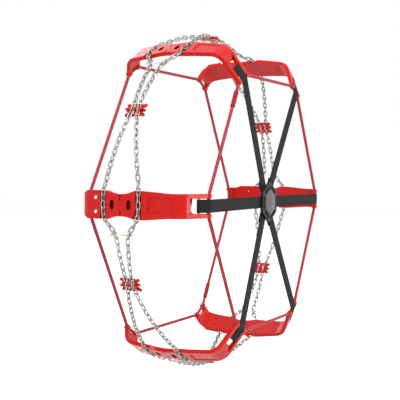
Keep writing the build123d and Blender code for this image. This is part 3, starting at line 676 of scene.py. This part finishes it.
def crimped_sleeve(points):
    """A tube over a cord: outside along the sleeve, then back along its bore. The outside
    radius sinks by a cosine dip at each crimp, most on two opposite sides."""
    middle, axes = main_axes(points)
    length, thick, _ = np.ptp(points @ axes.T, axis=0)
    share = np.linspace(-0.5, 0.5, SLEEVE_ROWS)
    outer = np.full((SLEEVE_ROWS, SLEEVE_SIDES), thick / 2)
    angle = np.linspace(0, 2 * math.pi, SLEEVE_SIDES, endpoint=False)
    for crimp in CRIMP_PLACES:
        dip = np.clip(1 - np.abs(share - crimp) / CRIMP_HALF, 0, 1)
        outer -= CRIMP_DEPTH * np.outer((1 - np.cos(math.pi * dip)) / 2, np.cos(angle) ** 2)
    edge = np.clip((0.5 - np.abs(share)) * length / SLEEVE_EDGE, 0, 1)
    outer -= (SLEEVE_EDGE * (1 - np.sqrt(1 - (1 - edge) ** 2)))[:, None]
    bore = np.full((SLEEVE_ROWS, SLEEVE_SIDES), thick / 2 - SLEEVE_WALL)
    radius = np.concatenate([outer, bore[::-1]])
    run = np.concatenate([share, share[::-1]]) * length
    across, upward = axes[1], np.cross(axes[0], axes[1])
    ring = radius[:, :, None] * (np.cos(angle)[None, :, None] * across
                                 + np.sin(angle)[None, :, None] * upward)
    return middle + run[:, None, None] * axes[0] + ring, True


for node in ("outer_cord_sleeve", "inner_cord_sleeve"):
    (points,) = solids_of(node)
    piece_of(f"{node}_crimped", [crimped_sleeve(points)], sleeve_red, "root", "sleeve_red", node)

# ---------------------------------------------------------------- straps
# Six flat elastic straps of black webbing. Each is folded over a steel pin in the arm's fork
# and sewn, led out over the cord to the hub, passed from behind round one of the hub's bars,
# and sewn again on its back.
STRAP_WIDTH, STRAP_THICKNESS = 0.022, 0.0019
STRAP_CLEARANCE, CORD_CLEARANCE = 0.0003, 0.0004
FOLD_GAP = 0.0001
STRAP_SPACING = 0.006
LEG_SLOPE = math.radians(24.1)
PIN_RADIUS = 0.002
HUB_RIM, HUB_SLOT, HUB_BAR = 0.0024, 0.0026, 0.0024
BAR_BEND, FOLD_BEND, SEAM_BEND = 0.0012, 0.0013, 0.004
HUB_SEAM_REACH = 0.048
FORK_SEAM_REACH, FORK_FOLD_REACH = 0.0135, 0.0075
STITCH_LENGTH, STITCH_PITCH, THREAD = 0.0021, 0.0031, 0.00032
SEAM_INSET, SEAM_FROM_HUB, SEAM_FROM_END = 0.003, 0.004, 0.002
FORK_SEAMS = (0.0062, 0.0112)
RIB_PITCH, WARP_LINES = 0.0013, 44

pin_low, pin_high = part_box("strap_pins")
pin_reach, pin_y = pin_high.x - PIN_RADIUS, (pin_low.y + pin_high.y) / 2
hub_low, hub_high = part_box("hub_frame")
cord_reach, cord_y = cord_middles["outer_cord"]
pin_place = np.array([pin_reach, pin_y])
leg_down = np.array([-math.cos(LEG_SLOPE), -math.sin(LEG_SLOPE)])
leg_out = np.array([math.sin(LEG_SLOPE), -math.cos(LEG_SLOPE)])
wrap = PIN_RADIUS + STRAP_THICKNESS / 2 + STRAP_CLEARANCE
over_cord = CORD_RADIUS + STRAP_THICKNESS / 2 + CORD_CLEARANCE
under_fold = wrap - STRAP_THICKNESS - FOLD_GAP
round_pin = 1.02 * wrap
bar_outside = hub_high.x - HUB_RIM - HUB_SLOT / 2
bar_inside = bar_outside - HUB_SLOT - HUB_BAR
behind = hub_high.y + STRAP_THICKNESS / 2 + 2 * STRAP_CLEARANCE
in_front = hub_low.y + STRAP_THICKNESS / 2 + FOLD_GAP
fold_back = behind + STRAP_THICKNESS + FOLD_GAP
cord_top = np.array([cord_reach, cord_y]) + over_cord * unit(leg_out + (0, -1))
strap_corners = [
    pin_place + leg_down * FORK_SEAM_REACH + leg_out * under_fold,
    pin_place + leg_down * FORK_FOLD_REACH + leg_out * under_fold,
    pin_place - leg_down * round_pin - leg_out * round_pin,
    pin_place - leg_down * round_pin + leg_out * wrap,
    cord_top,
    (bar_outside, behind),
    (bar_outside, in_front),
    (bar_inside, in_front),
    (bar_inside, fold_back),
    (HUB_SEAM_REACH, fold_back),
]
strap_bends = [0, SEAM_BEND, 0.9 * wrap, wrap, 1.2 * over_cord, BAR_BEND, BAR_BEND, BAR_BEND,
               FOLD_BEND, 0]


def ribbon(path, width, thickness):
    """A flat band along a path in the XY plane, with its width along Z. The section is a rounded
    bar: the top and bottom are nearly flat, and the selvedges are a little thicker."""
    along = unit(np.gradient(path, axis=0))
    outward = np.stack([along[:, 1], -along[:, 0], np.zeros(len(path))], axis=1)
    angle = np.linspace(0, 2 * math.pi, 32, endpoint=False)
    side = np.sign(np.cos(angle)) * np.abs(np.cos(angle)) ** 0.55
    face = np.sign(np.sin(angle)) * np.abs(np.sin(angle)) ** 0.22
    swell = 1 - 0.14 * np.exp(-((np.abs(side) - 0.82) / 0.05) ** 2)
    band = np.array([0, 0, 1.0]) * (side * width / 2)[:, None]
    lift = face * swell * thickness / 2
    return path[:, None] + band[None] + lift[None, :, None] * outward[:, None], False


def stitch_row(start, end, out):
    """A row of short lock stitches on a face of the strap, from start to end: each is a thread
    that rises out of the webbing in a low arch and sinks in again."""
    start, end, out = (np.array(value, float) for value in (start, end, out))
    count = max(1, round(np.linalg.norm(end - start) / STITCH_PITCH))
    along = unit(end - start)
    share = np.linspace(-0.5, 0.5, 5)
    angle = np.linspace(0, 2 * math.pi, 5, endpoint=False)
    round_thread = THREAD * (np.outer(np.cos(angle), out)
                             + np.outer(np.sin(angle), np.cross(along, out)))
    arch = share[:, None] * STITCH_LENGTH * along + (THREAD * (0.5 - 6 * share**2))[:, None] * out
    one = arch[:, None] + round_thread[None]
    places = start + (np.arange(count)[:, None] + 0.5) / count * (end - start)
    return [(one + place, False) for place in places]


def webbing(name, colour, dark):
    """Elastic webbing: ribs across it, broken by warp lines along it into short floats, both as
    waves over the strap's map, with a soft fibre sheen."""
    material = bpy.data.materials.new(name)
    material.use_nodes = True
    nodes, links = material.node_tree.nodes, material.node_tree.links
    shader = nodes["Principled BSDF"]
    shader.inputs["Roughness"].default_value = 0.78
    shader.inputs["Sheen Weight"].default_value = 0.04
    shader.inputs["Sheen Roughness"].default_value = 0.5
    shader.inputs["Specular IOR Level"].default_value = 0.12
    run = nodes.new("ShaderNodeUVMap")
    run.uv_map = "run"
    split = nodes.new("ShaderNodeSeparateXYZ")
    links.new(run.outputs["UV"], split.inputs[0])
    waves = []
    for socket, turns in (("X", 2 * math.pi / RIB_PITCH), ("Y", 2 * math.pi * WARP_LINES)):
        phase = nodes.new("ShaderNodeMath")
        phase.operation = "MULTIPLY"
        phase.inputs[1].default_value = turns
        links.new(split.outputs[socket], phase.inputs[0])
        wave = nodes.new("ShaderNodeMath")
        wave.operation = "SINE"
        links.new(phase.outputs[0], wave.inputs[0])
        waves.append(wave.outputs[0])
    cross = nodes.new("ShaderNodeMath")
    cross.operation = "MULTIPLY"
    links.new(waves[0], cross.inputs[0])
    links.new(waves[1], cross.inputs[1])
    weave = nodes.new("ShaderNodeMapRange")
    weave.inputs["From Min"].default_value = -1.0
    links.new(cross.outputs[0], weave.inputs["Value"])
    # Painted shade: the low spots of the weave take the dark colour, where shade falls between the
    # threads.
    links.new(mixed(nodes, links, weave.outputs["Result"], dark, colour),
              shader.inputs["Base Color"])
    bumped(nodes, links, weave.outputs["Result"], 0.00025, shader)
    return material


black_webbing = webbing("black_webbing", (0.024, 0.025, 0.027), (0.007, 0.007, 0.008))
strap_flat = tight_route(strap_corners, strap_bends, STRAP_SPACING, False)
strap_path = np.concatenate([strap_flat, np.zeros((len(strap_flat), 1))], axis=1)
strap_grids = [ribbon(strap_path, STRAP_WIDTH, STRAP_THICKNESS)]
seam_half, back = STRAP_WIDTH / 2 - SEAM_INSET, fold_back + STRAP_THICKNESS / 2
seam_near, seam_far = hub_high.x + SEAM_FROM_HUB, HUB_SEAM_REACH - SEAM_FROM_END
face_y = behind - STRAP_THICKNESS / 2
for y, out in ((back, (0, 1, 0)), (face_y, (0, -1, 0))):
    for start, end in (((seam_near, -seam_half), (seam_far, -seam_half)),
                       ((seam_near, seam_half), (seam_far, seam_half)),
                       ((seam_near, -seam_half), (seam_near, seam_half)),
                       ((seam_far, -seam_half), (seam_far, seam_half)),
                       ((seam_near, -seam_half), (seam_far, seam_half)),
                       ((seam_near, seam_half), (seam_far, -seam_half))):
        strap_grids += stitch_row((start[0], y, start[1]), (end[0], y, end[1]), out)
fork_face = leg_out * (wrap + STRAP_THICKNESS / 2)
for reach in FORK_SEAMS:
    seam_x, seam_y = pin_place + leg_down * reach + fork_face
    strap_grids += stitch_row((seam_x, seam_y, -seam_half), (seam_x, seam_y, seam_half),
                              (*leg_out, 0))
for number in range(6):
    turn = number * math.pi / 3
    spin = np.array([[math.cos(turn), 0, math.sin(turn)], [0, 1, 0],
                     [-math.sin(turn), 0, math.cos(turn)]])
    strap = piece_of(f"webbing_strap_{number + 1}", [(grid @ spin, ring) for grid, ring in
                                                     strap_grids],
                     black_webbing, None, "strap_black", f"strap_{number + 1}")
    outward = Vector((math.cos(turn), 0, math.sin(turn)))
    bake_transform(strap)

# ---------------------------------------------------------------- strap pins
# A steel cross pin in each fork, pressed into the two prongs, for the strap to be sewn round.
FORK_PIN_CHAMFER = 0.0003
fork_pins = [pin_between(points, 24, FORK_PIN_CHAMFER) for points in solids_of("strap_pins")]
piece_of("fork_pins", fork_pins, pin_steel, "root", "rod_steel", "strap_pins")

# ---------------------------------------------------------------- hub
# A black moulded hexagon that the six straps meet in, with a plain satin grey cap clipped onto
# its face: six flat facets that rise to a short ridge across the middle.
HUB_EDGE = 0.0004
HUB_MERGING = 0.0003
# The third colour is painted shade for the hub's hollows.
hub_black = moulded_plastic("hub_black", (0.014, 0.014, 0.016), (0.075, 0.075, 0.08),
                            (0.004, 0.004, 0.004), 0.3)
hub = moulded("hub_frame", HUB_EDGE, HUB_MERGING)
hub.data.materials.append(hub_black)
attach(hub, "hub")

badge_low, badge_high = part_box("hub_badge")
BADGE_ROUNDING = 0.0032
BADGE_RIM = 0.0017
RIDGE_HALF = 0.006
BADGE_POINTS = 144
CORNER_PACE = 2.6
SIDE_SHARE, SIDE_RISE, SHOULDER_RISE = 0.25, 0.3, 0.52
FACET_SHARES = (0.03, 0.3, 0.6, 0.97)


def hexagon(flat, rounding, count):
    """Points round a hexagon with rounded corners, anticlockwise from the middle of the flat at
    +X: a smaller sharp hexagon, with a rounding added outward. Each corner's arc is run through
    at CORNER_PACE times the even turn, and what is left of its sixth slides along the flats."""
    core = flat - rounding
    turn = np.linspace(0, 2 * math.pi, count, endpoint=False)
    corner = np.round((turn - math.pi / 6) / (math.pi / 3)) * math.pi / 3 + math.pi / 6
    apart = turn - corner
    sharp = core / math.cos(math.pi / 6)
    reach = sharp * np.stack([np.cos(corner), np.sin(corner)], axis=1)
    lean = corner + np.clip(apart * CORNER_PACE, -math.pi / 6, math.pi / 6)
    rounded = reach + rounding * np.stack([np.cos(lean), np.sin(lean)], axis=1)
    past_arc = np.abs(apart) * CORNER_PACE - math.pi / 6
    side = np.clip(past_arc / (math.pi / 6 * (CORNER_PACE - 1)), 0, 1)
    slide = (np.sign(apart) * side * sharp / 2)[:, None]
    return rounded + slide * np.stack([-np.sin(lean), np.cos(lean)], axis=1)


foot = hexagon(badge_high.x, BADGE_ROUNDING, BADGE_POINTS)
top = hexagon(badge_high.x - BADGE_RIM, BADGE_ROUNDING, BADGE_POINTS)
corner_z = (badge_high.x - BADGE_RIM) * math.tan(math.pi / 6)
ridge = np.stack([np.zeros(BADGE_POINTS), RIDGE_HALF * np.clip(top[:, 1] / corner_z, -1, 1)],
                 axis=1)
crown = badge_high.y - badge_low.y
levels = [(foot, 0.0), (foot + SIDE_SHARE * (top - foot), SIDE_RISE * crown),
          (top, SHOULDER_RISE * crown)]
levels += [(top + share * (ridge - top), (SHOULDER_RISE + (1 - SHOULDER_RISE) * share) * crown)
           for share in FACET_SHARES]
badge_grid = np.stack([np.stack([ring[:, 0], np.full(BADGE_POINTS, badge_high.y - rise),
                                 ring[:, 1]], axis=1) for ring, rise in levels])
# The third colour is painted shade for the cap's hollows.
badge_grey = moulded_plastic("badge_grey", (0.125, 0.118, 0.132), (0.22, 0.21, 0.225),
                             (0.03, 0.03, 0.03), 0.24)
badge = piece_of("badge_cap", [(badge_grid, False)], badge_grey, "hub", "badge_grey",
                 "hub_badge")
badge.data.shade_flat()
